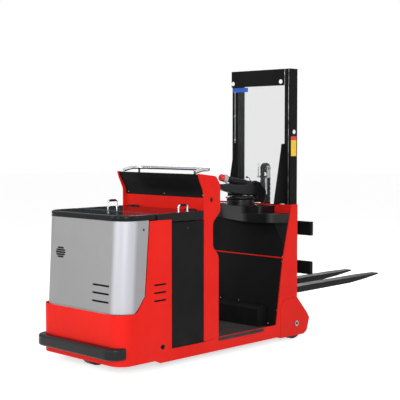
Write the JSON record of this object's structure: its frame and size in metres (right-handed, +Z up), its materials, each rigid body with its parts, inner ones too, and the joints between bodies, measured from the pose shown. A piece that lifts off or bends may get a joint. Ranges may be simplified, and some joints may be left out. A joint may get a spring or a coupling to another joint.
{
  "type": "order picker truck",
  "caption": "Battery electric low-level order picker truck with a rider compartment amidships, tiller console, fixed mast with raised forks and a tilting motor hood.",
  "frame": {"origin": "centre of the footprint from rear bumper to fork tips, on the floor under the wheels", "axes": "+X forward to the fork tips, +Y to the truck's left, +Z up"},
  "size_m": [3.278, 0.862, 2.048],
  "materials": {
    "red_paint": "glossy powder-coated sheet steel, red",
    "silver_paint": "metallic silver-grey paint, satin",
    "black_paint": "fine-textured black powder coat",
    "black_plastic": "black moulded plastic, fine grain",
    "rubber": "black rubber",
    "foam": "black artificial leather over foam",
    "chrome": "polished chrome-plated tube",
    "steel": "bare steel",
    "cast": "painted cast iron",
    "tyre": "dark polyurethane tread",
    "clear": "clear polycarbonate sheet",
    "fork_steel": "black painted forged steel, worn on top",
    "battery_grey": "dark grey battery tray, plain block",
    "red_plastic": "red moulded plastic",
    "light_plastic": "light grey switch plastic"
  },
  "bodies": {
    "chassis": {"rear_shell": "red_paint", "side_frame_right": "red_paint", "side_frame_left": "red_paint", "underframe": "black_paint", "battery": "battery_grey", "bumper": "rubber", "pillar_back": "red_paint", "pillar_front": "black_paint", "pillar_trim": "black_plastic", "backrest_pad": "foam", "back_rail": "chrome", "floor_mat": "rubber", "toe_box": "black_plastic", "front_wall": "black_paint", "mast_bulkhead": "red_paint", "console": "black_plastic", "lid_hinges": "black_paint", "rail_stops": "rubber", "corner_pocket": "black_plastic", "wheel_boxes": "red_paint", "load_axles": "steel", "mast_upright_right": "black_paint", "mast_upright_left": "black_paint", "mast_crossbar": "black_paint", "mast_mounts": "black_paint", "mast_gussets": "black_paint", "mast_guard": "clear", "lift_cylinder": "black_paint", "chain_rear": "steel"},
    "hood": {"hood_cowl": "silver_paint", "hood_cap": "black_plastic"},
    "battery_lid": {"battery_lid": "black_plastic", "lid_handles": "chrome"},
    "door_right": {"battery_door_right": "black_paint"},
    "door_left": {"battery_door_left": "black_paint"},
    "drive_unit": {"drive_bracket": "cast", "drive_motor": "cast"},
    "drive_wheel": {"drive_tyre": "tyre", "drive_hub": "cast"},
    "load_wheel_right": {"load_tyre_right": "tyre", "load_hub_right": "cast"},
    "load_wheel_left": {"load_tyre_left": "tyre", "load_hub_left": "cast"},
    "lift_rod": {"lift_rod": "chrome", "chain_pulley": "steel", "chain_wrap": "steel"},
    "carriage": {"fork_carriage": "black_paint", "carriage_rollers": "steel", "fork_right": "fork_steel", "fork_left": "fork_steel", "chain_front": "steel"},
    "tiller": {"tiller_turret": "black_plastic", "tiller_arm": "black_plastic", "tiller_head": "light_plastic", "tiller_grip": "rubber", "tiller_button": "red_plastic"}
  },
  "joints": [
    {"name": "hood_tilt", "type": "hinge", "parent": "chassis", "child": "hood", "pos_m": [-1.577, 0, 0.3943], "axis": [0, -1, 0], "range_deg": [0, 70]},
    {"name": "battery_lid_lift", "type": "hinge", "parent": "chassis", "child": "battery_lid", "pos_m": [-0.824, 0, 1.027], "axis": [0, 1, 0], "range_deg": [0, 56]},
    {"name": "door_right_drop", "type": "hinge", "parent": "chassis", "child": "door_right", "pos_m": [-0.973, -0.42, 0.1233], "axis": [1, 0, 0], "range_deg": [0, 90]},
    {"name": "door_left_drop", "type": "hinge", "parent": "chassis", "child": "door_left", "pos_m": [-0.973, 0.42, 0.1233], "axis": [-1, 0, 0], "range_deg": [0, 90]},
    {"name": "drive_steer", "type": "hinge", "parent": "chassis", "child": "drive_unit", "pos_m": [-1.429, 0, 0.3], "axis": [0, 0, 1], "range_deg": [-90, 90]},
    {"name": "drive_roll", "type": "hinge", "parent": "drive_unit", "child": "drive_wheel", "pos_m": [-1.429, 0, 0.115], "axis": [0, 1, 0], "continuous": true},
    {"name": "load_roll_right", "type": "hinge", "parent": "chassis", "child": "load_wheel_right", "pos_m": [0.177, -0.36, 0.12], "axis": [0, 1, 0], "continuous": true},
    {"name": "load_roll_left", "type": "hinge", "parent": "chassis", "child": "load_wheel_left", "pos_m": [0.177, 0.36, 0.12], "axis": [0, 1, 0], "continuous": true},
    {"name": "rod_lift", "type": "slide", "parent": "chassis", "child": "lift_rod", "axis": [0, 0, 1], "range_m": [-0.125, 0.575], "deforming": ["chain_rear"]},
    {"name": "fork_lift", "type": "slide", "parent": "lift_rod", "child": "carriage", "axis": [0, 0, 1], "range_m": [-0.125, 0.575], "deforming": ["chain_front"]},
    {"name": "tiller_turn", "type": "hinge", "parent": "chassis", "child": "tiller", "pos_m": [0.027, 0.012, 1.03], "axis": [0, 0, 1], "range_deg": [-60, 60]}
  ],
  "couplings": [
    {"joint": "fork_lift", "follows": "rod_lift", "ratio": 1}
  ]
}
